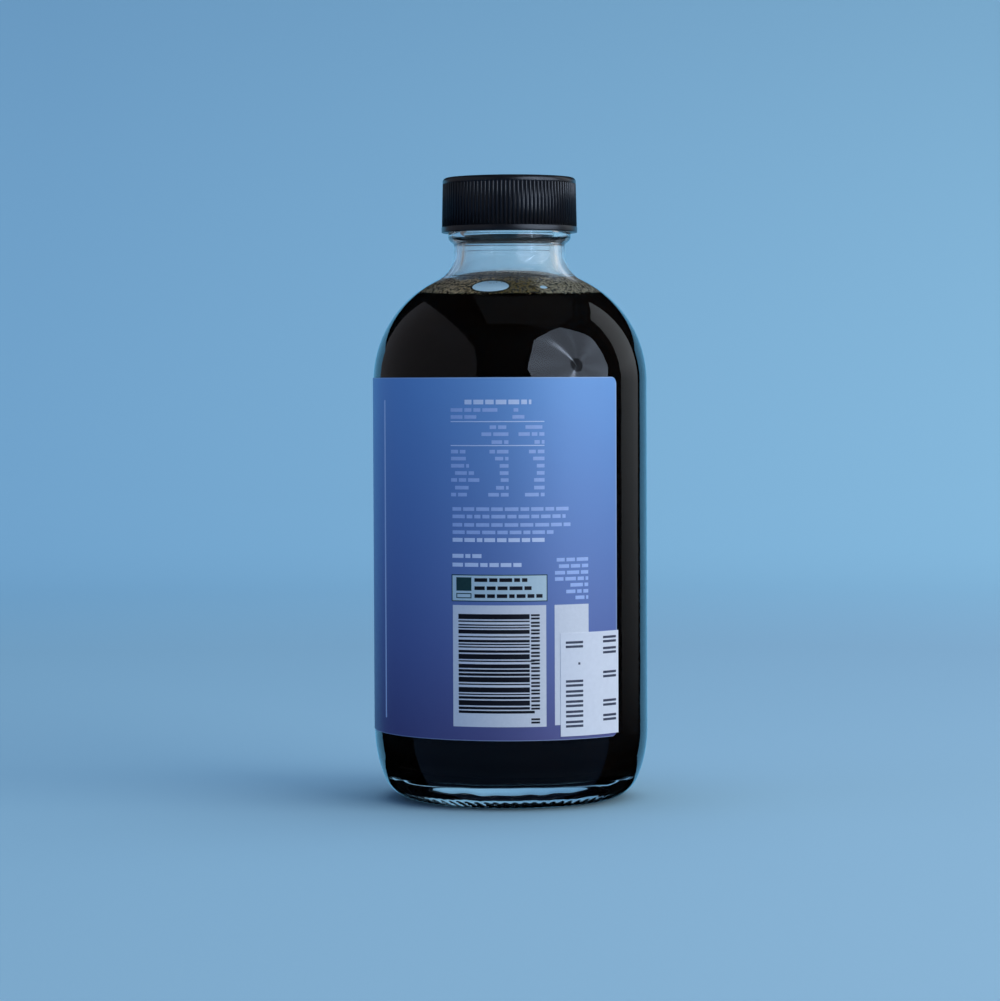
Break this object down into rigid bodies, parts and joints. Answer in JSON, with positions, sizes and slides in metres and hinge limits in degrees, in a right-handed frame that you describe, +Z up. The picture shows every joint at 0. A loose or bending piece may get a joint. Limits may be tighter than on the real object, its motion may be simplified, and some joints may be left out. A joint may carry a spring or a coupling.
{
  "type": "soy sauce bottle",
  "caption": "Small round clear glass bottle of soy sauce with a ribbed black screw cap, a wrap-round gradient label and a white date sticker.",
  "frame": {"origin": "centre of the flat ring on which the bottle stands, at the height of the surface below it", "axes": "+Z up along the bottle's axis, -Y towards the side with the printed panel and the date sticker, +X to its right"},
  "size_m": [0.0611, 0.0612, 0.1383],
  "materials": {
    "bottle_glass": "clear flint glass, smooth",
    "soy_sauce": "near-black liquid, glossy",
    "cap_plastic": "satin moulded",
    "label_paper": "satin coated, blue to purple gradient",
    "sticker_paper": "uncoated white"
  },
  "bodies": {
    "root": {"bottle": "bottle_glass", "sauce": "soy_sauce", "cap": "cap_plastic", "label": "label_paper", "date_sticker": "sticker_paper"}
  },
  "joints": []
}
